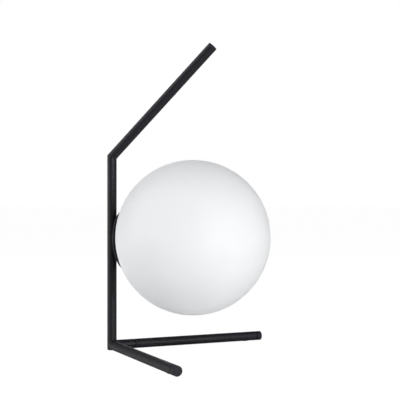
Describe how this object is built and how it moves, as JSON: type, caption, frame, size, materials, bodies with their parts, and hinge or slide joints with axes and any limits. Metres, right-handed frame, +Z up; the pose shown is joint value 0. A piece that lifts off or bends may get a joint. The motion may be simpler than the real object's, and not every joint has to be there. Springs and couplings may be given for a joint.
{
  "type": "glass globe table lamp",
  "caption": "Table lamp: opal glass globe held from behind by a dish on a black bent-tube frame that stands on its stem and two splayed legs.",
  "frame": {"origin": "centre of the underside of the stem's foot, on the table", "axes": "+Z up along the stem, +X from the stem towards the globe along the globe's own axis, +Y towards the side of the leg that screws on"},
  "size_m": [0.2238, 0.3228, 0.4008],
  "materials": {
    "black_coat": "fine-textured satin powder coat",
    "black_cap": "fine-textured matt black",
    "foot_rubber": "matt black",
    "plated_steel": "bright zinc plate",
    "collar_aluminium": "turned, satin",
    "opal_glass": "satin opal",
    "gasket_silicone": "translucent white",
    "porcelain": "glazed",
    "contact_brass": "bare",
    "live_sleeve": "smooth sleeve",
    "neutral_sleeve": "smooth sleeve",
    "splice_sleeve": "smooth sleeve",
    "bulb_white": "moulded",
    "bulb_frost": "frosted",
    "light_board": "matt"
  },
  "bodies": {
    "frame": {"stem_tube": "black_coat", "arm_tube": "black_coat", "front_leg_tube": "black_coat", "side_leg_stub": "black_coat", "side_leg_tube": "black_coat", "stub_insert": "plated_steel", "leg_insert": "plated_steel", "joint_stud": "plated_steel", "arm_cap": "black_cap", "front_leg_cap": "black_cap", "side_leg_cap": "black_cap", "stem_foot": "foot_rubber", "front_leg_pad": "foot_rubber", "side_leg_pad": "foot_rubber", "cord_bush": "black_cap", "dish_boss": "black_coat", "dish": "black_coat", "bayonet_plate": "plated_steel", "plate_screws": "plated_steel", "fixing_nipple": "plated_steel", "lock_washer": "plated_steel", "thin_nuts": "plated_steel", "holder_bracket": "plated_steel", "lampholder": "porcelain", "holder_screws": "plated_steel", "contact_blades": "contact_brass", "live_wire": "live_sleeve", "neutral_wire": "neutral_sleeve", "wire_splices": "splice_sleeve"},
    "globe": {"glass_globe": "opal_glass", "mouth_gasket": "gasket_silicone", "globe_collar": "collar_aluminium", "clamp_ring": "collar_aluminium"},
    "bulb": {"bulb_base": "bulb_white", "bulb_cover": "bulb_frost", "light_strip": "light_board", "bulb_pins": "plated_steel"}
  },
  "joints": [
    {"name": "globe_twist", "type": "hinge", "parent": "frame", "child": "globe", "pos_m": [0.1157, 0, 0.1512], "axis": [1, 0, 0], "range_deg": [0, 24]},
    {"name": "bulb_pull", "type": "slide", "parent": "frame", "child": "bulb", "axis": [1, 0, 0], "range_m": [0, 0.012]}
  ]
}
